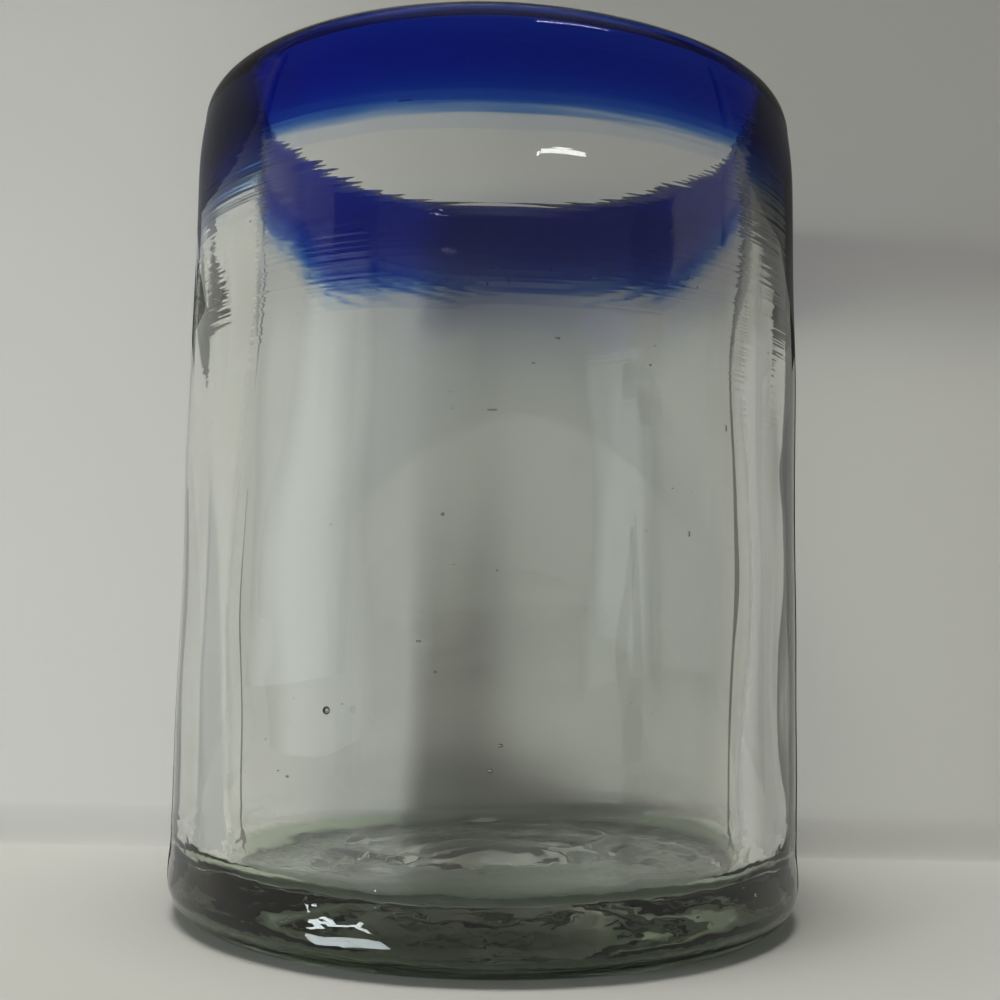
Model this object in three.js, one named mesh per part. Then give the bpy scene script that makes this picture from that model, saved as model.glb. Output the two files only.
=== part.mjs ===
// Hand-blown drinking tumbler: a heavy clear gather with a coloured glass wrap fused round its lip.
//
// The clear gather is blown to a straight wall on a thick base. Its underside is pushed in where the
// punty held it, and the same push lifts the floor of the cup. At the top the wall is thinned to a
// tongue. The coloured wrap hooks over that tongue: it makes the whole lip, covers the outside of the
// wall like a skirt, and thins down a ramp to a narrow toe.
//
// Millimetres, +Z up. The origin is the middle of the resting ring, so the glass stands on z = 0.

import * as THREE from 'three';

// Overall form
const overallHeight = 108;
const footRadius = 41.6;
const mouthRadius = 41.05;
const wallThickness = 7;

// Base
const floorHeight = 7;
const heelRadius = 4.7;
const floorFillet = 3;
const kickRadius = 24;
const kickDepth = 3;
const moundRadius = 17;
const moundRise = 2;

// Lip and coloured wrap
const lipThickness = 5.6;
const lipDraw = 0.8;
const lipDrawLength = 9;
const wrapHeight = 15;
const toeThickness = 0.7;
const tongueThickness = 2.6;
const tongueRise = 9;
const rampRise = 6;
const tongueBevel = 0.8;
const seamGap = 0.3;

// Facets
const facetsAround = 72;
const arcSteps = 7;
const domeSteps = 8;
const lipSteps = 14;
const wallSteps = 8;
const drawSteps = 3;

// Sizes that follow from the ones above
const restRadius = footRadius - heelRadius;
const lipRound = lipThickness / 2;
const lipShoulder = overallHeight - lipRound;
const drawStart = lipShoulder - lipDrawLength;
const boreFlare = wallThickness - lipDraw - lipThickness;
const filletTop = floorHeight + floorFillet;
const toeHeight = overallHeight - wrapHeight;
const rampTop = toeHeight + rampRise;
const tongueTop = toeHeight + tongueRise;

// The blank's outside radius at a height: a straight taper from the heel to the lip.
function taperRadius(z) {
  return footRadius + ((mouthRadius - footRadius) * (z - heelRadius)) / (lipShoulder - heelRadius);
}

// How far the lip's thinning has gone at a height: a parabola from nothing to one at the shoulder.
function thinning(z) {
  return Math.max(0, (z - drawStart) / lipDrawLength) ** 2;
}

// Outside of the finished wall, drawn inwards over its last few millimetres.
function wallRadius(z) {
  return taperRadius(z) - lipDraw * thinning(z);
}

// Inside of the finished wall, which follows the taper and opens a little to the thinner lip.
function boreRadius(z) {
  return taperRadius(z) - wallThickness + boreFlare * thinning(z);
}

// Points of a circular arc in the (radius, height) plane, both ends included. Angles are in degrees
// from the outward radial direction.
function arc(centreRadius, centreHeight, size, fromDegrees, toDegrees, steps) {
  return Array.from({ length: steps + 1 }, (_, i) => {
    const angle = THREE.MathUtils.degToRad(fromDegrees + ((toDegrees - fromDegrees) * i) / steps);
    return new THREE.Vector2(
      centreRadius + size * Math.cos(angle),
      centreHeight + size * Math.sin(angle),
    );
  });
}

// Points of a smooth dome, level at its middle and at its edge, from the axis outwards.
function dome(edgeRadius, edgeHeight, rise) {
  return Array.from({ length: domeSteps + 1 }, (_, i) => {
    const share = i / domeSteps;
    const lift = 0.5 + 0.5 * Math.cos(Math.PI * share);
    return new THREE.Vector2(edgeRadius * share, edgeHeight + rise * lift);
  });
}

// Points along one face of the wall between two heights, both ends included.
function faceRun(radiusAt, fromHeight, toHeight, steps) {
  return Array.from({ length: steps + 1 }, (_, i) => {
    const z = fromHeight + ((toHeight - fromHeight) * i) / steps;
    return new THREE.Vector2(radiusAt(z), z);
  });
}

// A named solid of revolution about +Z from a profile in the (radius, height) plane.
function turned(name, profile, material) {
  const geometry = new THREE.LatheGeometry(profile, facetsAround);
  geometry.rotateX(Math.PI / 2);
  const mesh = new THREE.Mesh(geometry, material);
  mesh.name = name;
  return mesh;
}

// Seat of the wrap on the clear gather, from the outside in: a ledge for the toe, a ramp, the
// tongue's outer face and a bevel to its tip
const ledgeRadius = wallRadius(toeHeight) - toeThickness;
const rampRadius = boreRadius(rampTop) + tongueThickness;
const bevelFoot = tongueTop - tongueBevel;
const tongueRadius = boreRadius(bevelFoot) + tongueThickness;
const seat = [
  new THREE.Vector2(ledgeRadius, toeHeight),
  new THREE.Vector2(rampRadius, rampTop),
  new THREE.Vector2(tongueRadius, bevelFoot),
  new THREE.Vector2(tongueRadius - tongueBevel, tongueTop),
];

// Clear gather, from the middle of the underside, up the outside, over the tongue and down the bore
const filletCentre = boreRadius(filletTop) - floorFillet;
const clearProfile = [
  ...dome(kickRadius, 0, kickDepth),
  ...arc(restRadius, heelRadius, heelRadius, -90, 0, arcSteps).slice(0, -1),
  ...faceRun(wallRadius, heelRadius, toeHeight, wallSteps),
  ...seat,
  ...faceRun(boreRadius, tongueTop, filletTop, wallSteps).slice(0, -1),
  ...arc(filletCentre, filletTop, floorFillet, 0, -90, arcSteps),
  ...dome(moundRadius, floorHeight, moundRise).reverse(),
];

// Coloured wrap, from its toe up the outside to the lip, round the lip, down its bore and back along
// the seat. Each seat point is the clear gather's own, moved off it by the seam.
const lipCentre = boreRadius(lipShoulder) + lipRound;
const wrapToe = toeHeight + seamGap;
const wrapTip = tongueTop + seamGap;
const wrapSeat = seat.map((point) => new THREE.Vector2(point.x + seamGap, point.y + seamGap));
const wrapProfile = [
  ...faceRun(wallRadius, wrapToe, lipShoulder, wallSteps),
  ...arc(lipCentre, lipShoulder, lipRound, 0, 180, lipSteps).slice(1, -1),
  ...faceRun(boreRadius, lipShoulder, wrapTip, drawSteps),
  ...wrapSeat.reverse(),
  new THREE.Vector2(wallRadius(wrapToe), wrapToe),
];

const clearGlass = new THREE.MeshStandardMaterial({
  color: 0xdde6da,
  roughness: 0.04,
  metalness: 0,
  transparent: true,
  opacity: 0.4,
});
const cobaltGlass = new THREE.MeshStandardMaterial({
  color: 0x10185e,
  roughness: 0.04,
  metalness: 0,
  transparent: true,
  opacity: 0.85,
});

const tumbler = new THREE.Group();
tumbler.add(turned('clear_body', clearProfile, clearGlass));
tumbler.add(turned('blue_rim', wrapProfile, cobaltGlass));

export default tumbler;
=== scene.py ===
# %% [markdown]
# # A hand-blown tumbler with a cobalt lip
# The real glass is two pieces of hot glass that have become one: a clear gather, blown to a straight
# wall on a heavy base, and a cobalt wrap fused round its mouth. Here each piece is one closed surface of
# revolution, worked out as a numpy grid and then pushed gently out of true, because a blown wall is
# never perfectly round. The first cell loads the measured model, which fixes the size and place of both.

import bpy
import numpy as np
from mathutils import Matrix, Vector


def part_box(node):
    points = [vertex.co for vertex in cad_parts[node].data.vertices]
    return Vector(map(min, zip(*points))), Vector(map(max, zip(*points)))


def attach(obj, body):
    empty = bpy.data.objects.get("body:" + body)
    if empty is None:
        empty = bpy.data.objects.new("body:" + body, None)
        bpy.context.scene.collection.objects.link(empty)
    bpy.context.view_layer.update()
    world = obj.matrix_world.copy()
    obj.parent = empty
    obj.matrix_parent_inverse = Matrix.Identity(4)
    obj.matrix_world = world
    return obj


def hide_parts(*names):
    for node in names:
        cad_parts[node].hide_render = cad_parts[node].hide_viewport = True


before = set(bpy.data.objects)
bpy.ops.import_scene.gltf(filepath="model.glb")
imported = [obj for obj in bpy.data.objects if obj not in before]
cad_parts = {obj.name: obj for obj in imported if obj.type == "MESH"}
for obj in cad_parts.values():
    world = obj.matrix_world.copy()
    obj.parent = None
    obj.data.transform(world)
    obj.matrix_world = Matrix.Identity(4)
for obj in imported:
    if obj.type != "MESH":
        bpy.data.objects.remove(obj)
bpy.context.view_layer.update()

MM = 0.001
scene = bpy.context.scene
scene.view_settings.view_transform = "Standard"

# %% [markdown]
# ## Sizes of the glass
# The height and the foot come straight from the measured solids. Most others repeat the model's own values:
# the wall, the heel, the kick under the base and the thinned lip. The lip's rise and the values from the toe
# on belong to the looks only: how the lip curves, where the cobalt thins out to nothing, and how softly.

# %% Sizes
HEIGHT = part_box("blue_rim")[1][2]
FOOT_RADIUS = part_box("clear_body")[1][0]
MOUTH_RADIUS = 41.05 * MM
WALL = 7.0 * MM
LIP_THICKNESS = 5.6 * MM
LIP_DRAW = 0.8 * MM
LIP_DRAW_LENGTH = 9.0 * MM
LIP_RISE = 4.0 * MM
HEEL = 4.7 * MM
FLOOR_HEIGHT = 7.0 * MM
FILLET = 3.0 * MM
KICK_RADIUS = 24.0 * MM
KICK_DEPTH = 3.0 * MM
MOUND_RADIUS = 17.0 * MM
MOUND_RISE = 2.0 * MM
SHOULDER = HEIGHT - LIP_THICKNESS / 2
LIP_START = HEIGHT - LIP_RISE
TOE = 93.3 * MM
TIP = HEIGHT - 4.5 * MM
FEATHER = 4.4 * MM
FEATHER_POWER = 1.35
EDGE = 0.02 * MM
SKIRT = 1.5 * MM
COLUMNS = 192
ANGLES = np.arange(COLUMNS) * 2 * np.pi / COLUMNS
RNG = np.random.default_rng(12)
print(f"height {HEIGHT / MM:.1f} mm, foot {2 * FOOT_RADIUS / MM:.1f} mm across")


# %% [markdown]
# ## The two faces of the wall
# The outside is a straight taper that draws in at the lip. The bore follows it one wall further in, and
# opens a little where the lip is thinner. Both are radii as functions of height, so any row of the mesh
# can ask for them, and the wall keeps its thickness whatever the row spacing is.

# %% Wall faces
def taper(z):
    """Straight line from the foot's radius at the heel to the mouth's radius at the lip's shoulder."""
    return FOOT_RADIUS + (MOUTH_RADIUS - FOOT_RADIUS) * (z - HEEL) / (SHOULDER - HEEL)


def thinning(z):
    """Parabola that grows from nothing, one draw length under the shoulder, to one at the shoulder."""
    return np.clip((z - SHOULDER + LIP_DRAW_LENGTH) / LIP_DRAW_LENGTH, 0, 1) ** 2


def wall_radius(z):
    """Taper less the lip's inward draw."""
    return taper(z) - LIP_DRAW * thinning(z)


def bore_radius(z):
    """Taper less the wall, plus the opening to the thinner lip."""
    return taper(z) - WALL + (WALL - LIP_DRAW - LIP_THICKNESS) * thinning(z)


half_way = HEIGHT / 2
print(f"wall {(wall_radius(half_way) - bore_radius(half_way)) / MM:.2f} mm half way up")


# %% [markdown]
# ## Where the cobalt ends
# The wrap is trailed on by hand, so its lower edge wanders: it sags by several millimetres in two places
# at the back and hardly at all in front. A cut of equal height would look machine-made. The wander is set
# at a few places round the glass, joined by straight lines and softened by a running mean.

# %% Toe of the wrap
TOE_PLACES = [-180, -165, -150, -138, -127, -118, -108, -92, -75, -60, -50, -30,
              0, 25, 45, 60, 80, 100, 112, 120, 130, 138, 148, 165, 180]
TOE_SHIFTS = [0.8, -1.2, -3.4, -5.2, -6.6, -5.2, -2.6, -1.6, -1.8, -0.3, 0.5, 0.4,
              0.2, 0.6, 1.1, 0.8, 0.2, 0.4, 0.2, -1.8, -4.2, -2.4, -0.6, 0.6, 0.8]
TOE_TERMS = [(0.10, 11, 0, 2.6), (0.06, 23, 0, 1.2)]


def waves(angle, height, terms):
    """Sum of amplitude * cos(count * angle + turns * height / HEIGHT + phase) over the terms, in metres."""
    total = np.zeros(np.broadcast(angle, height).shape)
    for amplitude, count, turns, phase in terms:
        total += amplitude * MM * np.cos(count * angle + turns * height / HEIGHT + phase)
    return total


def toe_heights():
    """Height of the cobalt's lower edge at each column: set shifts, joined, then averaged over 5 columns."""
    degrees = np.degrees(np.angle(np.exp(1j * ANGLES)))
    shift = np.interp(degrees, TOE_PLACES, TOE_SHIFTS)
    soft = sum(np.roll(shift, step) for step in range(-2, 3)) / 5
    return TOE + soft * MM + waves(ANGLES, 0.0, TOE_TERMS)


TOES = toe_heights()
SKIRTS = TOES - SKIRT
print(f"cobalt ends between {TOES.min() / MM:.1f} and {TOES.max() / MM:.1f} mm up")

# %% [markdown]
# ## How thick the cobalt is
# Blue glass lets through less light the thicker it is, so the soft edge of the band is a feather edge of
# glass, not a painted fade. Each turn of the trail leaves a ridge, so the feather is ragged too, most at
# the back. Its streaks come from a handful of waves that change fast with height and slowly round the glass.

# %% Thickness of the wrap
STREAK_COUNT = 16
STREAK_TURNS = 6
STREAK_FRONT = 0.07 * MM
STREAK_BACK = 0.28 * MM
STREAK_ROUND = RNG.integers(-STREAK_TURNS, STREAK_TURNS + 1, STREAK_COUNT)
STREAK_PITCH = RNG.uniform(0.6, 2.2, STREAK_COUNT) * MM
STREAK_PHASE = RNG.uniform(0, 2 * np.pi, STREAK_COUNT)


def streaks(angle, z):
    """Mean-free sum of cosines, each with its own few turns round the glass and its own pitch up it."""
    total = np.zeros(np.broadcast(angle, z).shape)
    for count, pitch, phase in zip(STREAK_ROUND, STREAK_PITCH, STREAK_PHASE):
        total += np.cos(count * angle + 2 * np.pi * z / pitch + phase)
    return total


def wrap_depth(angle, z, toe):
    """Thickness from a streaky feather edge to the whole wall: a power of one less a falling exponential."""
    wall = wall_radius(z) - bore_radius(z)
    reach = STREAK_FRONT + (STREAK_BACK - STREAK_FRONT) * (1 - np.cos(angle)) / 2
    ragged = reach * streaks(angle, z) * np.clip((TIP - z) / (TIP - toe), 0, 1)
    full = 1 - np.exp((toe - TIP) / FEATHER)
    grown = np.clip((1 - np.exp((toe + ragged - z) / FEATHER)) / full, 0, 1)
    return EDGE + (wall - EDGE) * grown**FEATHER_POWER


middle = wrap_depth(0.0, TOE + 5 * MM, TOE)
print(f"cobalt {float(middle) / MM:.2f} mm thick 5 mm above its toe")


# %% [markdown]
# ## Out of true
# Breath, gravity and hand tools leave a blown wall slightly wavy, and the bore never sits exactly in the
# middle. A few long waves round the axis do this. The same displacement moves both pieces, so they stay
# fused, and it is shared between bore and outside by how far a point lies across the wall. Near the foot
# the outside settles to a true circle, apart from shallow dents that the marver left in the heel.

# %% Waves of the wall
OUTER_TERMS = [
    (0.10, 2, 1.5, 0.4), (0.07, 3, -2.6, 1.9), (0.05, 5, 4.4, 3.0),
    (0.03, 7, -7.0, 0.8), (0.02, 11, 3.0, 2.2), (0.05, 2, 14.0, 0.7),
    (0.04, 3, -19.0, 2.1), (0.03, 1, 27.0, 0.3), (0.015, 4, -38.0, 1.1),
]
BORE_TERMS = [
    (0.45, 1, 0.5, -1.57), (0.22, 2, 3.1, 2.4), (0.14, 3, -4.8, 0.3), (0.09, 4, 7.5, 1.3),
    (0.06, 6, -9.5, 2.8), (0.035, 9, 5.0, 0.9), (0.025, 14, -2.0, 1.7), (0.012, 23, 1.2, 0.2),
    (0.006, 41, 0.8, 2.9), (0.08, 2, -12.0, 1.4), (0.06, 3, 18.0, 0.6), (0.03, 5, -26.0, 2.7),
]
HEEL_TERMS = [
    (0.05, 7, 60.0, 0.5), (0.04, 12, -85.0, 1.7), (0.03, 19, 110.0, 0.2), (0.02, 31, -60.0, 2.9),
]
LIP_TERMS = [(0.16, 1, 0, 0.9), (0.10, 2, 0, 2.0), (0.05, 3, 0, 0.3)]
SETTLE = 14 * MM
LIP_SWAY_FROM = 70 * MM


def smooth(value):
    """Rise from 0 to 1 with level ends: three times the square less twice the cube."""
    share = np.clip(value, 0, 1)
    return share * share * (3 - 2 * share)


def out_of_true(radius, angle, height):
    """Moves wall points: bore waves at the bore, outer waves at the outside, blended across the wall."""
    wall = wall_radius(height) - bore_radius(height)
    across = np.clip((radius - bore_radius(height)) / wall, 0, 1)
    shift = (1 - across) * waves(angle, height, BORE_TERMS) + across * waves(angle, height, OUTER_TERMS)
    low = np.sin(np.pi * np.clip(height / SETTLE, 0, 1)) ** 2
    dents = across * low * waves(angle, height, HEEL_TERMS)
    sway = np.clip((height - LIP_SWAY_FROM) / (HEIGHT - LIP_SWAY_FROM), 0, 1) ** 2
    moved_radius = radius + smooth(height / SETTLE) * shift + dents
    return moved_radius, height + sway * waves(angle, height, LIP_TERMS)


def to_points(radius, angle, height):
    """Cylinder coordinates to x, y, z, with angle zero towards the viewer on -Y and growing towards +X."""
    places = np.broadcast_arrays(radius * np.sin(angle), -radius * np.cos(angle), height)
    return np.stack(places, axis=-1)


wander = waves(ANGLES, half_way, BORE_TERMS)
print(f"half way up, the bore wanders by {np.ptp(wander) / MM:.2f} mm")


# %% [markdown]
# ## Turning grids into pieces
# Each piece is a grid of rows and columns wrapped round the axis. All faces are smooth, because a renderer
# that tracks which glass a ray is in wants one shading per piece. The ends of the seat are marked as sharp
# edges instead, so that normals don't blend across them.

# %% Mesh helpers
def ring_faces(rows, closed):
    """Quads between neighbouring rows of a grid that closes round the axis, and round its rows if asked."""
    last = rows if closed else rows - 1
    row, column = np.meshgrid(np.arange(last), np.arange(COLUMNS), indexing="ij")
    above = (row + 1) % rows
    beside = (column + 1) % COLUMNS
    corners = [(row, column), (row, beside), (above, beside), (above, column)]
    return np.stack([r * COLUMNS + c for r, c in corners], axis=-1).reshape(-1, 4)


def crease_rows(mesh, rows, count):
    """Marks the edges that run round the axis along the given rows, out of the grid's count, as sharp."""
    ends = np.empty(2 * len(mesh.edges), dtype=np.int32)
    mesh.edges.foreach_get("vertices", ends)
    row = ends.reshape(-1, 2) // COLUMNS
    level = (row[:, 0] == row[:, 1]) & (row[:, 0] < count)
    mesh.edges.foreach_set("use_edge_sharp", level & np.isin(row[:, 0], rows))


def glass_object(name, points, faces, fused, creases, count, solid):
    """A smooth closed mesh object that rides on the root body and stands for one measured node."""
    mesh = bpy.data.meshes.new(name)
    mesh.from_pydata(points.tolist(), [], faces)
    mesh.attributes.new("fused", "FLOAT", "FACE").data.foreach_set("value", fused.astype(np.float32))
    mesh.polygons.foreach_set("use_smooth", np.ones(len(mesh.polygons), dtype=bool))
    crease_rows(mesh, creases, count)
    mesh.update()
    piece = bpy.data.objects.new(name, mesh)
    scene.collection.objects.link(piece)
    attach(piece, "root")
    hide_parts(solid)
    print(name, len(mesh.polygons), "faces")
    return piece


def arc(centre_radius, centre_height, wide, tall, start, end, count):
    """Ellipse arc in the radius and height plane, between two angles in degrees."""
    turn = np.radians(np.linspace(start, end, count))
    return centre_radius + wide * np.cos(turn), centre_height + tall * np.sin(turn)


def spread(run):
    """A run of rows as a grid: a row with one value gets it in every column."""
    return np.broadcast_to(np.reshape(run, (len(run), -1)), (len(run), COLUMNS))


def stack(parts):
    """Joins (radius, height, kind) runs into one grid of radii, one of heights and each row's kind."""
    radii = np.concatenate([spread(radius) for radius, height, kind in parts])
    heights = np.concatenate([spread(height) for radius, height, kind in parts])
    kinds = np.concatenate([np.full(len(radius), kind) for radius, height, kind in parts])
    return radii, heights, kinds


def rising(start, end, count):
    """Rows spaced evenly from one height to another, as a column that can meet the columns' own heights."""
    return start + (end - start) * np.linspace(0, 1, count)[:, None]


print("grids of", COLUMNS, "columns")

# %% [markdown]
# ## The clear gather
# Its profile runs from the middle of the underside, over the kick, the resting ring and the heel, up the
# outside, along the seat of the cobalt, over the tongue, down the bore and across the floor. The rows of
# the seat follow the wandering toe, so the profile is worked out for all columns at once.

# %% Profile of the gather
FREE, SEAT, CUP_FLOOR, UNDERSIDE = 0, 1, 2, 3
KICK_ROWS = 40
RING_ROWS = 8
ARC_ROWS = 22
WALL_ROWS = 104
SEAT_ROWS = 90
FLOOR_ROWS = 60


def clear_profile():
    """Grid of radius and height, and what each row belongs to: free glass, seat, floor or underside."""
    parts = []
    r = np.linspace(0, KICK_RADIUS, KICK_ROWS)[1:]
    parts.append((r, KICK_DEPTH * (0.5 + 0.5 * np.cos(np.pi * r / KICK_RADIUS)), UNDERSIDE))
    r = np.linspace(KICK_RADIUS, FOOT_RADIUS - HEEL, RING_ROWS)[1:-1]
    parts.append((r, np.zeros_like(r), UNDERSIDE))
    parts.append((*arc(FOOT_RADIUS - HEEL, HEEL, HEEL, HEEL, -90, 0, ARC_ROWS), FREE))
    z = rising(HEEL, SKIRTS, WALL_ROWS)[1:-1]
    parts.append((wall_radius(z), z, FREE))
    parts.append((wall_radius(SKIRTS)[None], SKIRTS[None], SEAT))
    z = rising(SKIRTS, TIP, SEAT_ROWS)
    parts.append((wall_radius(z) - wrap_depth(ANGLES, z, TOES), z, SEAT))
    z = np.linspace(TIP, FLOOR_HEIGHT + FILLET, WALL_ROWS)[1:]
    parts.append((bore_radius(z), z, FREE))
    centre = bore_radius(FLOOR_HEIGHT + FILLET) - FILLET
    r, z = arc(centre, FLOOR_HEIGHT + FILLET, FILLET, FILLET, 0, -90, ARC_ROWS)
    parts.append((r[1:], z[1:], CUP_FLOOR))
    r = np.linspace(centre, 0, FLOOR_ROWS)[1:-1]
    mound = MOUND_RISE * (0.5 + 0.5 * np.cos(np.pi * np.clip(r / MOUND_RADIUS, 0, 1)))
    parts.append((r, FLOOR_HEIGHT + mound, CUP_FLOOR))
    return stack(parts)


radius, height, kind = clear_profile()
print("profile rows", len(kind), "of which on the seat", int((kind == SEAT).sum()))

# %% [markdown]
# ## Floor and underside
# The punty, an iron rod stuck on with a blob of hot glass, pushes the base in and leaves a scar when it is
# broken off. Inside, the floor answers with a low uneven ridge. Both are heights added over the plan of
# the base, so they need no care about angles, and the resting ring stays flat.

# %% Marks of the punty
RIDGE_X = -3 * MM
RIDGE_Y = 13 * MM
RIDGE_RADIUS, RIDGE_WIDTH, RIDGE_RISE = 19 * MM, 1.3 * MM, 0.34 * MM
RIDGE_LOBES, RIDGE_WOBBLE = 3, 0.06
SCAR_RADIUS, SCAR_WIDTH, SCAR_RISE = 9 * MM, 1.1 * MM, 0.16 * MM
SCAR_LOBES, SCAR_WOBBLE = 5, 0.09
SWING_PHASE = 0.7
FINE_LOBES, FINE_SWING = 4, 0.5
FLOOR_TERMS = [
    (0.06, 140, 110, -0.2), (0.06, 140, -110, 1.4), (0.06, 310, -190, 0.0),
    (0.03, 620, 340, 1.0), (0.025, -450, 780, 0.0),
]
UNDER_TERMS = [(0.08, 260, 90, 0.0), (0.07, -170, 330, 1.1)]
UNDER_PUSH = 0.2 * MM
UNDER_FADE = 8 * MM


def plan_waves(x, y, terms):
    """Sum of amplitude * cos(across * x + along * y + phase) over the terms, in metres."""
    return sum(size * MM * np.cos(across * x + along * y + phase) for size, across, along, phase in terms)


def ring_ridge(x, y, radius, width, lobes, wobble):
    """Bell-shaped ridge along a circle whose radius swings with the angle, as a share of its full height."""
    around = np.arctan2(y, x)
    swing = np.cos(lobes * around + SWING_PHASE) + FINE_SWING * np.cos((lobes + FINE_LOBES) * around)
    return np.exp(-(((np.hypot(x, y) - radius * (1 + wobble * swing)) / width) ** 2))


def floor_lift(x, y):
    """Slow swell of the floor plus the ridge round the punty's push, as a height over each floor point."""
    ridge = ring_ridge(x - RIDGE_X, y - RIDGE_Y, RIDGE_RADIUS, RIDGE_WIDTH, RIDGE_LOBES, RIDGE_WOBBLE)
    return plan_waves(x, y, FLOOR_TERMS) + RIDGE_RISE * ridge


def under_lift(x, y):
    """Uneven push and broken scar under the kick, all upwards, fading out before the resting ring."""
    scar = SCAR_RISE * ring_ridge(x, y, SCAR_RADIUS, SCAR_WIDTH, SCAR_LOBES, SCAR_WOBBLE)
    fade = smooth((KICK_RADIUS - np.hypot(x, y)) / UNDER_FADE)
    return fade * (UNDER_PUSH + plan_waves(x, y, UNDER_TERMS) + scar)


moved_r, moved_z = out_of_true(radius, ANGLES[None], height)
under = (kind == UNDERSIDE)[:, None]
points = to_points(np.where(under, radius, moved_r), ANGLES[None], np.where(under, height, moved_z))
x, y = points[..., 0], points[..., 1]
down_fillet = np.clip((FLOOR_HEIGHT + FILLET - height) / FILLET, 0, 1) ** 2
on_floor = (kind == CUP_FLOOR)[:, None] * down_fillet
points[..., 2] += on_floor * floor_lift(x, y) + under * under_lift(x, y)
middle_floor = FLOOR_HEIGHT + MOUND_RISE + floor_lift(0.0, 0.0)
middle_under = KICK_DEPTH + under_lift(0.0, 0.0)
print(f"base {(middle_floor - middle_under) / MM:.2f} mm thick at its middle")

# %% [markdown]
# ## Seeds
# Hand-melted glass is full of small bubbles, which makers call seeds. They are real hollows, so each is a
# tiny closed surface inside the gather's own mesh, with its faces turned inwards. Some lie in the wall,
# a swarm lies in the thick base, and a few large ones are listed one by one.

# %% Bubbles in the gather
PLACED_SEEDS = [
    (-26.3, 38.0, 28.0, 0.46, 0.46), (-7.2, 38.5, 49.6, 0.20, 0.18), (0.3, 38.5, 61.1, 0.55, 0.10),
    (10.7, 38.0, 69.4, 0.30, 0.12), (6.8, 38.0, 66.5, 0.22, 0.10), (44.4, 38.0, 61.2, 0.14, 0.40),
    (35.4, 38.0, 48.4, 0.16, 0.30), (2.6, 38.0, 24.9, 0.30, 0.20), (1.1, 38.0, 22.2, 0.34, 0.24),
    (-16.0, 35.6, 97.0, 0.9, 0.10), (-169.1, 35.2, 97.4, 0.10, 0.8), (-170.3, 35.2, 95.6, 0.12, 0.4),
    (-178.6, 35.2, 97.2, 0.8, 0.10), (178.6, 35.2, 96.4, 0.14, 0.6), (177.7, 35.2, 94.9, 0.16, 0.3),
    (-163.2, 35.2, 93.6, 0.2, 0.2), (-176.0, 35.2, 94.2, 0.2, 0.2), (153.7, 35.2, 95.8, 0.9, 0.10),
    (166.7, 35.2, 97.0, 0.12, 0.5),
]
WALL_SEEDS = dict(count=90, least=0.05, more=0.09, power=3, depths=(36, 40), heights=(13, 88), longest=2.4)
BASE_SEEDS = dict(count=90, least=0.06, more=0.10, power=2, depths=(14, 38), heights=(4.2, 6.2), longest=1.8)
SEED_RINGS = 7
SEED_SIDES = 10


def placed_seeds():
    """Rows like the scattered ones, for the listed seeds: each as thick as its smaller half size."""
    turn, deep, up, wide, tall = np.transpose(PLACED_SEEDS)
    return np.stack([turn, deep, up, wide, np.minimum(wide, tall), tall], axis=-1)


def scattered_seeds(count, least, more, power, depths, heights, longest):
    """Rows of angle, radius, height and three half sizes in mm: even draws, with large sizes made rare."""
    size = least + more * RNG.random(count) ** power
    turn = RNG.uniform(-180, 180, count)
    deep = RNG.uniform(*depths, count)
    up = RNG.uniform(*heights, count)
    along = size * RNG.uniform(1, longest, count)
    return np.stack([turn, deep, up, along, size, size], axis=-1)


def unit_ball():
    """Points of a unit sphere: rings from the top down, then its two poles."""
    polar = (np.pi * np.arange(1, SEED_RINGS) / SEED_RINGS)[:, None]
    turn = 2 * np.pi * np.arange(SEED_SIDES) / SEED_SIDES
    rings = np.broadcast_arrays(np.sin(polar) * np.cos(turn), np.sin(polar) * np.sin(turn), np.cos(polar))
    return np.concatenate([np.stack(rings, axis=-1).reshape(-1, 3), [[0, 0, 1], [0, 0, -1]]])


def seed_points(seeds):
    """Ellipsoids: the unit ball scaled along the turn, the radius and the height of each seed."""
    ball = unit_ball()
    turn, deep, up, along, thick, tall = seeds.T[:, :, None]
    angle = np.radians(turn) + ball[:, 0] * along / deep
    return to_points((deep + ball[:, 1] * thick) * MM, angle, (up + ball[:, 2] * tall) * MM)


def seed_faces():
    """Faces of one ball: quads between rings and a fan at each pole, turned to look into the hollow."""
    ring, side = np.meshgrid(np.arange(SEED_RINGS - 2), np.arange(SEED_SIDES), indexing="ij")
    beside = (side + 1) % SEED_SIDES
    corners = [(ring, side), (ring + 1, side), (ring + 1, beside), (ring, beside)]
    quads = np.stack([r * SEED_SIDES + s for r, s in corners], axis=-1).reshape(-1, 4)
    side = np.arange(SEED_SIDES)
    beside = (side + 1) % SEED_SIDES
    last_ring = (SEED_RINGS - 2) * SEED_SIDES
    top_pole = np.full(SEED_SIDES, last_ring + SEED_SIDES)
    top_fan = np.stack([top_pole, side, beside], axis=-1)
    low_fan = np.stack([top_pole + 1, last_ring + beside, last_ring + side], axis=-1)
    return quads, np.concatenate([top_fan, low_fan])


seeds = np.concatenate([placed_seeds(), scattered_seeds(**WALL_SEEDS), scattered_seeds(**BASE_SEEDS)])
hollows = seed_points(seeds)
ball_quads, ball_fans = seed_faces()
print(len(seeds), "seeds, the largest round one", 2 * seeds[0, 3], "mm across")

# %% [markdown]
# ## One mesh for the gather
# The grid leaves a hole at the middle of the underside and of the floor, and a fan of triangles closes each.
# The seeds' surfaces join the same mesh. Faces on the seat are marked, so that the glass there can know
# that it touches glass and not air.

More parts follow.
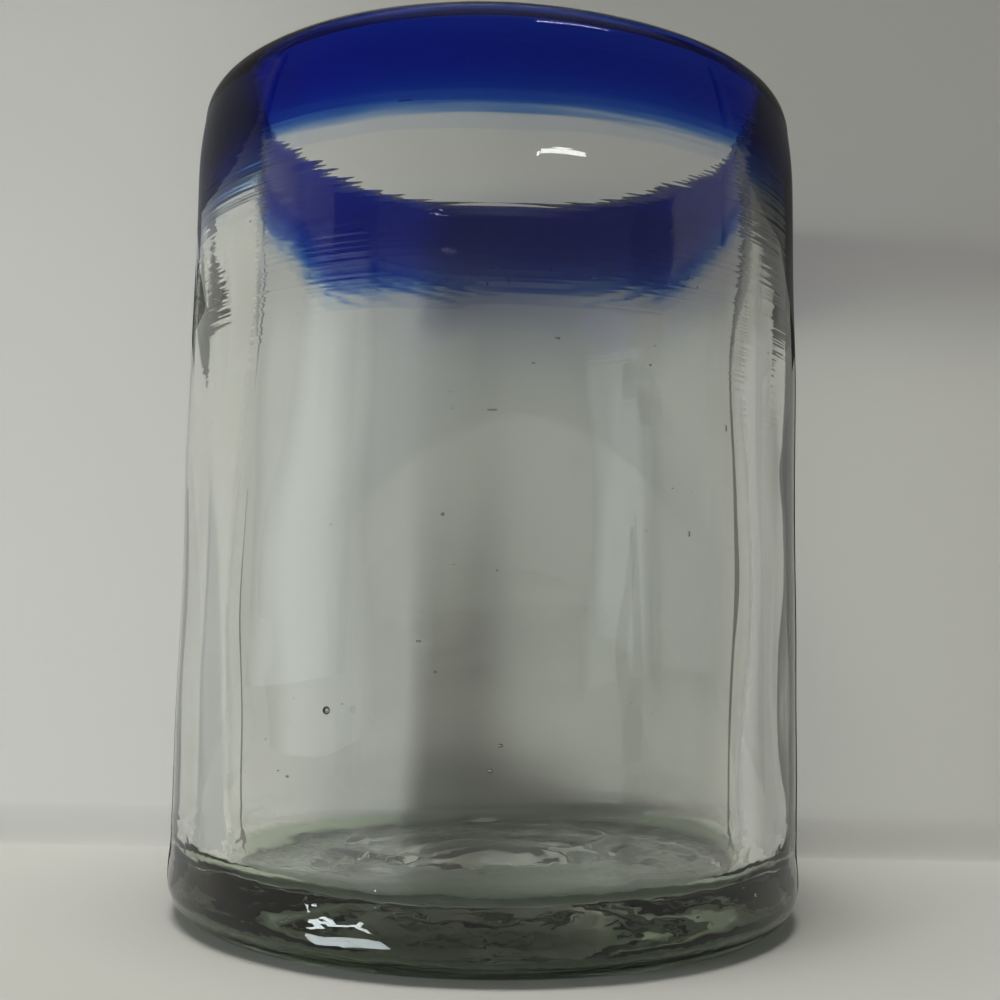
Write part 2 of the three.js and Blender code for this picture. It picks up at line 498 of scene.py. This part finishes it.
# %% Clear gather as one mesh
rows = len(kind)
grid_count = rows * COLUMNS
column = np.arange(COLUMNS)
beside = (column + 1) % COLUMNS
under_fan = np.stack([np.full(COLUMNS, grid_count), beside, column], axis=-1)
last_row = grid_count - COLUMNS
floor_fan = np.stack([last_row + column, last_row + beside, np.full(COLUMNS, grid_count + 1)], axis=-1)
start = grid_count + 2 + np.arange(len(seeds))[:, None, None] * hollows.shape[1]
quads = np.concatenate([ring_faces(rows, False), (start + ball_quads).reshape(-1, 4)])
fans = np.concatenate([under_fan, floor_fan, (start + ball_fans).reshape(-1, 3)])
poles = [[0, 0, middle_under], [0, 0, middle_floor]]
all_points = np.concatenate([points.reshape(-1, 3), poles, hollows.reshape(-1, 3)])
fused = np.zeros(len(quads) + len(fans))
fused[:last_row] = np.repeat((kind[:-1] == SEAT) & (kind[1:] == SEAT), COLUMNS)
seat_rows = np.flatnonzero(kind == SEAT)
clear_body = glass_object("clear_body_glass", all_points, quads.tolist() + fans.tolist(), fused,
                          [seat_rows[0], seat_rows[-1]], rows, "clear_body")

# %% [markdown]
# ## The cobalt wrap
# A closed loop carried round the axis: up the outside from the feather edge, round the lip, down the
# bore and back along the seat. It reaches a hair into the clear glass, as fused glass does, so that light
# crosses the seat without meeting air. The lip is half an ellipse, taller than it is wide, because heat
# draws the last of the wall up and rounds it.

# %% Cobalt wrap
FUSE = 0.01 * MM
SKIRT_ROWS = 70
LIP_ROWS = 48
INNER_ROWS = 4


def wrap_profile():
    """Closed loop of radius and height round the cobalt's section, and whether each row lies on the seat."""
    parts = []
    z = rising(SKIRTS, LIP_START, SKIRT_ROWS)
    parts.append((wall_radius(z), z, FREE))
    wide = (wall_radius(LIP_START) - bore_radius(LIP_START)) / 2
    r, z = arc(bore_radius(LIP_START) + wide, LIP_START, wide, LIP_RISE, 0, 180, LIP_ROWS)
    parts.append((r[1:], z[1:], FREE))
    z = np.linspace(LIP_START, TIP, INNER_ROWS)[1:]
    parts.append((bore_radius(z), z, FREE))
    z = rising(TIP, SKIRTS, SEAT_ROWS)[1:]
    parts.append((wall_radius(z) - wrap_depth(ANGLES, z, TOES) - FUSE, z - FUSE, SEAT))
    return stack(parts)


radius, height, seat = wrap_profile()
moved_r, moved_z = out_of_true(radius, ANGLES[None], height)
points = to_points(moved_r, ANGLES[None], moved_z).reshape(-1, 3)
fused = np.repeat(np.maximum(seat, np.roll(seat, -1)), COLUMNS)
creases = [0, np.flatnonzero(seat == SEAT)[0] - 1]
blue_rim = glass_object("blue_rim_glass", points, ring_faces(len(seat), True).tolist(), fused,
                        creases, len(seat), "blue_rim")

# %% [markdown]
# ## Tool marks
# Wet paper and steel leave marks in soft glass. Jacks and shears draw fine ripples round the bore below
# the mouth, deepest at the two sides. Blowing stretches faint cords up the wall, and the heavy base stays
# dimpled. They are too fine for the mesh, so they are heights for a bump. Both glasses show them, so they
# are one node group.

# %% Tool-mark group
INSIDE_REACH, OUTSIDE_REACH = 36.5 * MM, 38.5 * MM
RIPPLE_SCALE = (18, 18, 1500)
CORD_SCALE = (150, 150, 7)
DIMPLE_SCALE = (210, 210, 420)
SOFT_DETAIL, ROUGH_DETAIL = 1.0, 2.0
OUTSIDE_RIPPLE = 0.12
MIDDLE_WIDTH, SIDE_WIDTH = 4 * MM, 36 * MM
MIDDLE_RIPPLE, SIDE_RIPPLE = 0.5, 2.6
RIPPLE_LOW, RIPPLE_HIGH = 55 * MM, 85 * MM
DIMPLE_LOW, DIMPLE_HIGH = 8 * MM, 17 * MM


def node(tree, kind, inputs, **settings):
    """A shader node whose inputs are set to plain values or linked to the outputs that are given."""
    made = tree.nodes.new("ShaderNode" + kind)
    for name, value in settings.items():
        setattr(made, name, value)
    for socket, value in inputs.items():
        if isinstance(value, bpy.types.NodeSocket):
            tree.links.new(value, made.inputs[socket])
        else:
            made.inputs[socket].default_value = value
    return made


def math(tree, operation, first, second):
    """One sum, product or other two-sided operation on values."""
    return node(tree, "Math", {0: first, 1: second}, operation=operation).outputs[0]


def blend(tree, value, low, high, at_low, at_high):
    """A value that eases from one level to another while its driver goes from low to high."""
    inputs = {"Value": value, "From Min": low, "From Max": high, "To Min": at_low, "To Max": at_high}
    return node(tree, "MapRange", inputs, interpolation_type="SMOOTHSTEP").outputs[0]


def object_place(tree):
    """The shaded point in the object's own frame."""
    return node(tree, "TexCoord", {}).outputs["Object"]


def axes_of(tree, place):
    """The X, Y and Z of a place as separate outputs."""
    return node(tree, "SeparateXYZ", {0: place}).outputs


def axis_reach(tree, place):
    """Distance from the axis: the length of the place with its height taken out."""
    flat = node(tree, "VectorMath", {0: place, 1: (1, 1, 0)}, operation="MULTIPLY")
    return node(tree, "VectorMath", {0: flat.outputs[0]}, operation="LENGTH").outputs["Value"]


def stretched_noise(tree, place, scale, detail):
    """Soft noise about zero, drawn out along the axes with a small scale."""
    wide = node(tree, "VectorMath", {0: place, 1: scale}, operation="MULTIPLY")
    noise = node(tree, "TexNoise", {"Vector": wide.outputs[0], "Scale": 1.0, "Detail": detail})
    return math(tree, "SUBTRACT", noise.outputs["Fac"], 0.5)


def tool_mark_group():
    """Height in metres: ripples by the mouth, cords all over and dimples by the foot, times their depths."""
    group = bpy.data.node_groups.new("tool_marks", "ShaderNodeTree")
    for name in ("Ripple", "Cord", "Dimple"):
        group.interface.new_socket(name, in_out="INPUT", socket_type="NodeSocketFloat")
    group.interface.new_socket("Height", in_out="OUTPUT", socket_type="NodeSocketFloat")
    depth = group.nodes.new("NodeGroupInput").outputs
    place = object_place(group)
    axes = axes_of(group, place)
    inside = blend(group, axis_reach(group, place), INSIDE_REACH, OUTSIDE_REACH, 1.0, OUTSIDE_RIPPLE)
    aside = math(group, "ABSOLUTE", axes["X"], 0.0)
    by_side = blend(group, aside, MIDDLE_WIDTH, SIDE_WIDTH, MIDDLE_RIPPLE, SIDE_RIPPLE)
    by_mouth = blend(group, axes["Z"], RIPPLE_LOW, RIPPLE_HIGH, 0.0, 1.0)
    by_foot = blend(group, axes["Z"], DIMPLE_LOW, DIMPLE_HIGH, 1.0, 0.0)
    worked = math(group, "MULTIPLY", math(group, "MULTIPLY", inside, by_side), by_mouth)
    ripple = math(group, "MULTIPLY", stretched_noise(group, place, RIPPLE_SCALE, SOFT_DETAIL), worked)
    dimple = math(group, "MULTIPLY", stretched_noise(group, place, DIMPLE_SCALE, ROUGH_DETAIL), by_foot)
    cord = stretched_noise(group, place, CORD_SCALE, SOFT_DETAIL)
    marks = math(group, "MULTIPLY", ripple, depth["Ripple"])
    marks = math(group, "ADD", marks, math(group, "MULTIPLY", dimple, depth["Dimple"]))
    marks = math(group, "ADD", marks, math(group, "MULTIPLY", cord, depth["Cord"]))
    group.links.new(marks, group.nodes.new("NodeGroupOutput").inputs["Height"])
    return group


TOOL_MARKS = tool_mark_group()
print("tool marks made of", len(TOOL_MARKS.nodes), "nodes")

# %% [markdown]
# ## Glass
# Clear glass bends light and swallows a little of it on the way, most at the red and blue ends, which is
# why a thick base looks green. So it is a transmitting shader with an absorbing volume, and a deeper tint
# by the foot that is partly that green and partly painted shade, which darkens the base. Where the two
# pieces are fused there is no air, so there the index of refraction is one.
# Light from the lamps goes straight through, which saves the renderer from tracing focused light. It is
# dimmed where it meets the wall at a slant, as real glass throws it aside there and leaves a dark line in
# its shadow. It is dimmed by the foot too, where the heavy base scatters it. That dimming reaches higher at
# the back of the wall than in front, and highest in a core a little left of the middle.

# %% Glass materials
GLASS_INDEX = 1.52
RIPPLE_DEPTH, CORD_DEPTH, DIMPLE_DEPTH = 20e-6, 6e-6, 120e-6
SLANT_LOW, SLANT_HIGH = 0.22, 0.45
SLANT_DIM_FOOT, SLANT_DIM_MOUTH = 0.08, 0.9
SLANT_DIM_LOW, SLANT_DIM_HIGH = 12 * MM, 72 * MM
BORE_SLANT = 0.55
FOOT_DIM = 0.05
FOOT_DIM_LOW = 3.4 * MM
FOOT_DIM_TOP, FOOT_DIM_CORE, FOOT_DIM_BESIDE = 6 * MM, 24 * MM, 13 * MM
CORE_X = -5 * MM
CORE_WIDTH, BESIDE_WIDTH = 4 * MM, 18 * MM
FRONT_Y, BACK_Y = 20 * MM, 34 * MM
TINT_LOW, TINT_HIGH = 4.5 * MM, 8.5 * MM
# The clear glass's foot colour is partly the green of thick glass and partly painted shade that darkens the
# base.
CLEAR_TINTS = dict(colour=(0.995, 1.0, 0.995), foot_colour=(0.52, 0.66, 0.49),
                   absorb=(0.60, 0.66, 0.46), density=12.0, shade=(0.98, 0.98, 0.975))
COBALT_TINTS = dict(colour=(0.9, 0.93, 1.0), foot_colour=(0.9, 0.93, 1.0),
                    absorb=(0.0, 0.40, 0.87), density=1050.0, shade=(0.88, 0.87, 0.85))


def new_material(name):
    """An empty node material with its output node."""
    material = bpy.data.materials.new(name)
    material.use_nodes = True
    material.node_tree.nodes.clear()
    return material, material.node_tree, material.node_tree.nodes.new("ShaderNodeOutputMaterial")


def lamp_tint(tree, shade):
    """Share of lamp light let through: the glass's own shade, less where it slants and close to the foot."""
    place = object_place(tree)
    axes = axes_of(tree, place)
    bore = blend(tree, axis_reach(tree, place), INSIDE_REACH, OUTSIDE_REACH, BORE_SLANT, 1.0)
    facing = node(tree, "LayerWeight", {"Blend": 0.5}).outputs["Facing"]
    slant = blend(tree, math(tree, "MULTIPLY", facing, bore), SLANT_LOW, SLANT_HIGH, 0.0, 1.0)
    dark = blend(tree, axes["Z"], SLANT_DIM_LOW, SLANT_DIM_HIGH, SLANT_DIM_FOOT, SLANT_DIM_MOUTH)
    tint = node(tree, "Mix", {0: slant, 6: (*shade, 1), 7: dark}, data_type="RGBA").outputs[2]
    aside = math(tree, "ABSOLUTE", math(tree, "SUBTRACT", axes["X"], CORE_X), 0.0)
    behind = blend(tree, aside, CORE_WIDTH, BESIDE_WIDTH, FOOT_DIM_CORE, FOOT_DIM_BESIDE)
    top = blend(tree, axes["Y"], FRONT_Y, BACK_Y, FOOT_DIM_TOP, behind)
    foot = blend(tree, axes["Z"], FOOT_DIM_LOW, top, FOOT_DIM, 1.0)
    return node(tree, "VectorMath", {0: tint, "Scale": foot}, operation="SCALE").outputs[0]


def foot_tint_and_shade(tree, colour, foot_colour):
    """The glass's colour, eased by height over to the foot's colour, which for clear glass is partly painted
    shade.
    """
    height = axes_of(tree, object_place(tree))["Z"]
    low = blend(tree, height, TINT_LOW, TINT_HIGH, 1.0, 0.0)
    return node(tree, "Mix", {0: low, 6: (*colour, 1), 7: (*foot_colour, 1)}, data_type="RGBA").outputs[2]


def tool_marks(tree):
    """A bump normal from the tool-mark group at its three depths."""
    marks = node(tree, "Group", {}, node_tree=TOOL_MARKS)
    for socket, depth in (("Ripple", RIPPLE_DEPTH), ("Cord", CORD_DEPTH), ("Dimple", DIMPLE_DEPTH)):
        marks.inputs[socket].default_value = depth
    bump = node(tree, "Bump", {"Strength": 1.0, "Distance": 1.0, "Height": marks.outputs["Height"]})
    return bump.outputs[0]


def glass_material(name, colour, foot_colour, absorb, density, shade):
    """Principled glass with absorption, a foot tint partly of painted shade, a fused seat, tool marks and
    clear shadows.
    """
    material, tree, out = new_material(name)
    plain = {"Base Color": (*colour, 1), "Transmission Weight": 1, "Roughness": 0, "IOR": GLASS_INDEX}
    glass = node(tree, "BsdfPrincipled", plain)
    seat = node(tree, "Attribute", {}, attribute_name="fused").outputs["Fac"]
    index = node(tree, "MapRange", {"Value": seat, "To Min": GLASS_INDEX, "To Max": 1.0})
    tree.links.new(foot_tint_and_shade(tree, colour, foot_colour), glass.inputs["Base Color"])
    tree.links.new(index.outputs["Result"], glass.inputs["IOR"])
    tree.links.new(tool_marks(tree), glass.inputs["Normal"])
    clear = node(tree, "BsdfTransparent", {"Color": lamp_tint(tree, shade)})
    shadow = node(tree, "LightPath", {}).outputs["Is Shadow Ray"]
    mix = node(tree, "MixShader", {0: shadow, 1: glass.outputs[0], 2: clear.outputs[0]})
    tree.links.new(mix.outputs[0], out.inputs["Surface"])
    volume = node(tree, "VolumeAbsorption", {"Color": (*absorb, 1), "Density": density})
    tree.links.new(volume.outputs[0], out.inputs["Volume"])
    return material


CLEAR = glass_material("clear_glass", **CLEAR_TINTS)
COBALT = glass_material("cobalt_glass", **COBALT_TINTS)
clear_body.data.materials.append(CLEAR)
blue_rim.data.materials.append(COBALT)
print("materials", CLEAR.name, COBALT.name)

# %% [markdown]
# ## Stage
# A pale floor that turns up into a close backdrop of matt paper, and more floor behind it. The paper shows
# only from its front, so that the backdrop never hides the glass in other views. Paper takes light from the
# lamps by its slope, so in the curve between floor and backdrop its shade is set lower, which keeps the join
# quiet.

# %% Stage
GAP = 1 * MM
COVE = 6 * MM
COVE_STEPS = 25
BACK = FOOT_RADIUS + GAP
BACK_TOP = 1.5
FLOOR_Z = -0.02 * MM
STAGE_SIDE = 3.0
NEAR_FLOOR = -0.3
NEAR_STEPS = 11
PALE = (1.0, 0.99, 0.95)
FLOOR_SHADE, BACK_SHADE = 0.445, 0.42
COVE_LIFT = 0.02
# Painted shade on the paper: how far left, right, low and high it reaches, and how much darker it makes the
# paper.
DIM_LEFT, DIM_RIGHT = -70 * MM, 20 * MM
DIM_LOW, DIM_HIGH = 70 * MM, 125 * MM
PAINTED_SHADE_MOST = 0.30


def sweep_grid():
    """Floor, quarter-circle cove and backdrop over the stage's width, with the slope of each line point."""
    turn = np.radians(np.linspace(-90, 0, COVE_STEPS))
    start = BACK - COVE
    level = np.zeros(NEAR_STEPS + 1)
    near = np.linspace(NEAR_FLOOR, start, NEAR_STEPS + 1)[:-1]
    y = np.concatenate([[-STAGE_SIDE], near, start + COVE * np.cos(turn), [BACK]])
    z = np.concatenate([level, COVE + COVE * np.sin(turn), [BACK_TOP]])
    slope = np.concatenate([level, turn + np.pi / 2, [np.pi / 2]])
    x, y = np.meshgrid([-STAGE_SIDE, STAGE_SIDE], y, indexing="ij")
    return x, y, np.broadcast_to(z + FLOOR_Z, y.shape), np.broadcast_to(slope, y.shape)


def sweep_shade(slope):
    """Shade that goes evenly from floor to backdrop, less the cove's gain by its slope, plus a lift."""
    level = FLOOR_SHADE + (BACK_SHADE - FLOOR_SHADE) * slope / (np.pi / 2)
    return level / (np.cos(slope) + np.sin(slope)) * (1 + COVE_LIFT * np.sin(2 * slope))


def stage_mesh(name, points, faces, shade, material):
    """An object from points and faces, with one shade per point for its material to read."""
    mesh = bpy.data.meshes.new(name)
    mesh.from_pydata(np.reshape(points, (-1, 3)).tolist(), [], faces)
    values = np.ravel(shade).astype(np.float32)
    mesh.attributes.new("shade", "FLOAT", "POINT").data.foreach_set("value", values)
    mesh.materials.append(material)
    thing = bpy.data.objects.new(name, mesh)
    scene.collection.objects.link(thing)
    return thing


def grid_mesh(name, x, y, z, shade, material):
    """A smooth sheet over a grid of points."""
    index = np.arange(x.size).reshape(x.shape)
    corners = [index[:-1, :-1], index[1:, :-1], index[1:, 1:], index[:-1, 1:]]
    faces = np.stack(corners, axis=-1).reshape(-1, 4).tolist()
    sheet = stage_mesh(name, np.stack([x, y, z], axis=-1), faces, shade, material)
    sheet.data.polygons.foreach_set("use_smooth", np.ones(len(faces), dtype=bool))
    return sheet


def paper_material(name):
    """Matt paper seen from the front only, with painted shade that makes it darker high up on the right."""
    material, tree, out = new_material(name)
    axes = axes_of(tree, object_place(tree))
    aside = blend(tree, axes["X"], DIM_LEFT, DIM_RIGHT, 0.0, 1.0)
    aloft = blend(tree, axes["Z"], DIM_LOW, DIM_HIGH, 0.0, PAINTED_SHADE_MOST)
    painted_shade = math(tree, "SUBTRACT", 1.0, math(tree, "MULTIPLY", aside, aloft))
    shade = node(tree, "Attribute", {}, attribute_name="shade").outputs["Fac"]
    level = math(tree, "MULTIPLY", shade, painted_shade)
    tone = node(tree, "VectorMath", {0: PALE, "Scale": level}, operation="SCALE")
    paper = node(tree, "BsdfDiffuse", {"Color": tone.outputs[0]})
    clear = node(tree, "BsdfTransparent", {})
    side = node(tree, "NewGeometry", {}).outputs["Backfacing"]
    mix = node(tree, "MixShader", {0: side, 1: paper.outputs[0], 2: clear.outputs[0]})
    tree.links.new(mix.outputs[0], out.inputs["Surface"])
    return material


paper = paper_material("paper")
x, y, z, slope = sweep_grid()
grid_mesh("sweep", x, y, z, sweep_shade(slope), paper)
x, y = np.meshgrid([-STAGE_SIDE, STAGE_SIDE], [BACK - COVE, STAGE_SIDE], indexing="ij")
z = np.full(x.shape, 2 * FLOOR_Z)
grid_mesh("floor_behind", x, y, z, np.full(x.shape, FLOOR_SHADE), paper)
print(f"backdrop {GAP / MM:.0f} mm behind the glass")

# %% [markdown]
# ## Dark cards
# Glass has no edge of its own: what draws it is a dark thing that the thick rim of the wall bends into
# view. Photographers stand black cards beside the glass for that. These cards are painted shade: dark and
# grey sheets that stand in for shaded surroundings. They show only through and in the glass, and they throw
# no shadow. Each has its corners in millimetres and then its grey.

# %% Dark cards
CARDS = {
    "edge_left_low": ((-41.7, 4, 0), (-50.7, 14.7, 0), (-43, 5.5, 56), (-41.7, 4, 56), 0.03),
    "side_left_low": ((-52, 4, 0), (-84, 4, 0), (-84, 4, 16), (-52, 4, 62), 0.34),
    "edge_left_mid": ((-43.2, 5.8, 78), (-70, 37.7, 79), (-70, 37.7, 86), (-43.2, 5.8, 90), 0.05),
    "side_left_mid": ((-47, 4, 78), (-60, 4, 84), (-60, 4, 85), (-47, 4, 90), 0.05),
    "edge_left": ((-43.2, 5.8, 94), (-70, 37.7, 99), (-70, 37.7, 170), (-43.2, 5.8, 170), 0.12),
    "band_left": ((-44, 4, 94.5), (-260, 4, 180), (-260, 4, 420), (-44, 4, 420), 0.14),
    "edge_right_low": ((41.7, 4, 0), (50.7, 14.7, 0), (50.7, 14.7, 79), (41.7, 4, 79), 0.05),
    "side_right_low": ((52, 4, 0), (90, 4, 0), (90, 4, 79), (52, 4, 79), 0.50),
    "edge_right": ((43.2, 5.8, 78), (70, 37.7, 82), (70, 37.7, 170), (43.2, 5.8, 170), 0.06),
    "side_right": ((44, 4, 79), (60, 4, 96), (260, 4, 186), (260, 4, 420), (44, 4, 420), 0.10),
}


def hide_but_in_glass(thing):
    """Leaves a stage object to be seen in and through the glass only, with no shadow or bounced light."""
    thing.visible_camera = False
    thing.visible_diffuse = False
    thing.visible_shadow = False


def shade_material(name, kind, inputs, socket):
    """A surface of one kind, with the mesh's own shade linked to one of its sockets."""
    material, tree, out = new_material(name)
    shade = node(tree, "Attribute", {}, attribute_name="shade").outputs["Fac"]
    surface = node(tree, kind, {**inputs, socket: shade})
    tree.links.new(surface.outputs[0], out.inputs["Surface"])
    return material


# The cards' greys are painted shade, seen only in and through the glass.
card = shade_material("card", "BsdfDiffuse", {}, "Color")
for name, (*corners, grey) in CARDS.items():
    count = len(corners)
    hide_but_in_glass(stage_mesh(name, np.array(corners) * MM, [range(count)], np.full(count, grey), card))
print(len(CARDS), "dark cards")

# %% [markdown]
# ## Light
# The air around is dim for the papers. For the eye and the glass it is paler near the horizon and brightest
# overhead. A small cool key from the left throws the shadow, a broad warm panel in front and one overhead
# fill it. None of the three shows in the glass. Two thin lamps that show only as reflections give the
# glints.

# %% Surroundings
AIR = 0.10
PALE_AIR = 0.25
CEILING = 0.40
HORIZON_LOW, HORIZON_HIGH = 0.16, 0.34
OVERHEAD_LOW, OVERHEAD_HIGH = 0.7, 0.95
AIR_COLOUR = (0.95, 0.98, 1.0, 1)
world = bpy.data.worlds.new("world")
scene.world = world
world.use_nodes = True
tree = world.node_tree
path = node(tree, "LightPath", {})
seen = math(tree, "MAXIMUM", path.outputs["Is Camera Ray"], path.outputs["Is Glossy Ray"])
seen = math(tree, "MAXIMUM", seen, path.outputs["Is Transmission Ray"])
lift = axes_of(tree, node(tree, "TexCoord", {}).outputs["Generated"])["Z"]
around = blend(tree, lift, HORIZON_LOW, HORIZON_HIGH, PALE_AIR - AIR, 0.0)
above = blend(tree, lift, OVERHEAD_LOW, OVERHEAD_HIGH, 0.0, CEILING - AIR)
level = math(tree, "MULTIPLY", seen, math(tree, "ADD", around, above))
tree.nodes["Background"].inputs["Color"].default_value = AIR_COLOUR
tree.links.new(math(tree, "ADD", level, AIR), tree.nodes["Background"].inputs["Strength"])
print("air strength", AIR, "for the papers and up to", CEILING, "for the eye and the glass")

# %% Lamps
COOL, WARM, SOFT, WHITE = (0.92, 0.98, 1.0), (1.0, 0.97, 0.88), (1.0, 0.995, 0.93), (1, 1, 1)
LAMPS = {
    "key": dict(place=(-0.613, -0.514, 0.09), aim=(-0.06, 0.05, 0.03),
                width=0.18, tall=0.16, power=0.205, colour=COOL, spread=0.6),
    "front": dict(place=(-0.1, -1.2, 0.13), aim=(0, 0, 0.02),
                  width=1.2, tall=0.22, power=0.64, colour=WARM, spread=1.0),
    "fill": dict(place=(-0.1, -0.12, 1.0), aim=(0, 0, 0.0),
                 width=0.5, tall=0.5, power=11.0, colour=SOFT, spread=np.pi),
}
GLINTS = {
    "glint_wall": dict(azimuth=24, elevation=19.5, width=0.30, tall=0.005, power=0.07),
    "glint_lip": dict(azimuth=33, elevation=45, width=0.40, tall=0.012, power=0.60),
}
GLINT_REACH = 1.0
GLINT_AIM = (0, 0, 0.09)


def area(name, place, aim, width, tall, power, colour, spread):
    """A rectangular lamp at a place, turned to face a point, unseen by the camera and through the glass."""
    lamp = bpy.data.lights.new(name, "AREA")
    lamp.shape = "RECTANGLE"
    lamp.size = width
    lamp.size_y = tall
    lamp.energy = power
    lamp.color = colour
    lamp.spread = spread
    holder = bpy.data.objects.new(name, lamp)
    scene.collection.objects.link(holder)
    turn = (Vector(aim) - Vector(place)).to_track_quat("-Z", "Y")
    holder.matrix_world = Matrix.Translation(place) @ turn.to_matrix().to_4x4()
    holder.visible_camera = False
    holder.visible_transmission = False
    return holder


def glint(name, azimuth, elevation, width, tall, power):
    """A lamp at an azimuth and an elevation from the glass that shows only as a reflection."""
    turn, lift = np.radians([azimuth, elevation])
    way = np.array([np.cos(lift) * np.sin(turn), -np.cos(lift) * np.cos(turn), np.sin(lift)])
    place = tuple(GLINT_AIM + GLINT_REACH * way)
    return area(name, place, GLINT_AIM, width, tall, power, WHITE, np.pi)


for name, values in LAMPS.items():
    area(name, **values).visible_glossy = False
for name, values in GLINTS.items():
    glint(name, **values).visible_diffuse = False
print(len(bpy.data.lights), "lamps")

# %% [markdown]
# ## A window to the left
# Soft daylight from a window lies as a cool veil on the left of the wall. It is a glowing panel that fades
# towards its edges, because a hard-edged one would draw its own outline on the glass.

# %% Window
WINDOW_TURN = np.radians(-68)
WINDOW_REACH = 0.6
WINDOW_WIDE, WINDOW_LOW, WINDOW_HIGH = 0.46, -0.06, 0.25
WINDOW_GLOW = 1.35
WINDOW_FADE = 2.2
WINDOW_STEPS = 24
DAYLIGHT = (0.88, 0.97, 1.0, 1)
steps = np.linspace(-1, 1, WINDOW_STEPS)
across, upward = np.meshgrid(steps, steps, indexing="ij")
glow = WINDOW_GLOW * smooth(WINDOW_FADE * (1 - np.abs(across))) * smooth(WINDOW_FADE * (1 - np.abs(upward)))
aside = across * WINDOW_WIDE / 2
x = WINDOW_REACH * np.sin(WINDOW_TURN) + aside * np.cos(WINDOW_TURN)
y = -WINDOW_REACH * np.cos(WINDOW_TURN) + aside * np.sin(WINDOW_TURN)
z = WINDOW_LOW + (WINDOW_HIGH - WINDOW_LOW) * (upward + 1) / 2
daylight = shade_material("daylight", "Emission", {"Color": DAYLIGHT}, "Strength")
hide_but_in_glass(grid_mesh("window", x, y, z, glow, daylight))
print("window", WINDOW_WIDE, "m wide")

# %% [markdown]
# ## Strips on the floor
# The heel faces a little downwards, so what shines in it lies on the floor beside the glass. Two small
# glowing strips there show only as reflections, and give the white flecks on the lower left of the heel.
# Each has its corners in millimetres and then its strength.

# %% Floor strips
STRIPS = {
    "strip_outer": ((-36.7, -48.2), (-42.7, -49.9), (-29.4, -64.4), (-24.8, -60.4), 16.0),
    "strip_inner": ((-20.9, -39.0), (-28.0, -41.6), (-16.9, -49.7), (-11.8, -44.4), 10.0),
}
STRIP_LIFT = 0.3
for name, (*corners, strength) in STRIPS.items():
    flat = np.array([(*corner, STRIP_LIFT) for corner in corners]) * MM
    strip = stage_mesh(name, flat, [(0, 1, 2, 3)], np.full(4, strength), daylight)
    hide_but_in_glass(strip)
    strip.visible_transmission = False
print(len(STRIPS), "floor strips")

# %% [markdown]
# ## Camera
# The camera stands close, a little below the middle of the glass and tipped up, so the near rim looks higher
# than the far one. Its place, tilt and focal length come from a fit of the outline, in the photograph's own
# frame of a thousand by a thousand.

# %% Camera
EYE = (1.1 * MM, -179.4 * MM, 38.9 * MM)
PITCH = 0.088
YAW = 0.001
ROLL = 0.019
FOCAL = 1294.7
FRAME_SIDE = 1000
SENSOR = 36.0
NEAREST = 5 * MM
LIGHT_BOUNCES = 24
CLEAR_BOUNCES = 16

forward = np.array([np.sin(YAW) * np.cos(PITCH), np.cos(YAW) * np.cos(PITCH), np.sin(PITCH)])
level = np.array([np.cos(YAW), -np.sin(YAW), 0.0])
upright = np.cross(level, forward)
right = np.cos(ROLL) * level + np.sin(ROLL) * upright
up = -np.sin(ROLL) * level + np.cos(ROLL) * upright
turn_and_place = np.stack([right, up, -forward, EYE], axis=-1)
camera_data = bpy.data.cameras.new("camera")
camera_data.sensor_width = SENSOR
camera_data.lens = SENSOR * FOCAL / FRAME_SIDE
camera_data.clip_start = NEAREST
camera = bpy.data.objects.new("camera", camera_data)
scene.collection.objects.link(camera)
camera.matrix_world = Matrix(np.vstack([turn_and_place, [0, 0, 0, 1]]).tolist())
scene.camera = camera
scene.cycles.max_bounces = LIGHT_BOUNCES
scene.cycles.transmission_bounces = LIGHT_BOUNCES
scene.cycles.transparent_max_bounces = CLEAR_BOUNCES
print(f"lens {camera_data.lens:.1f} mm")
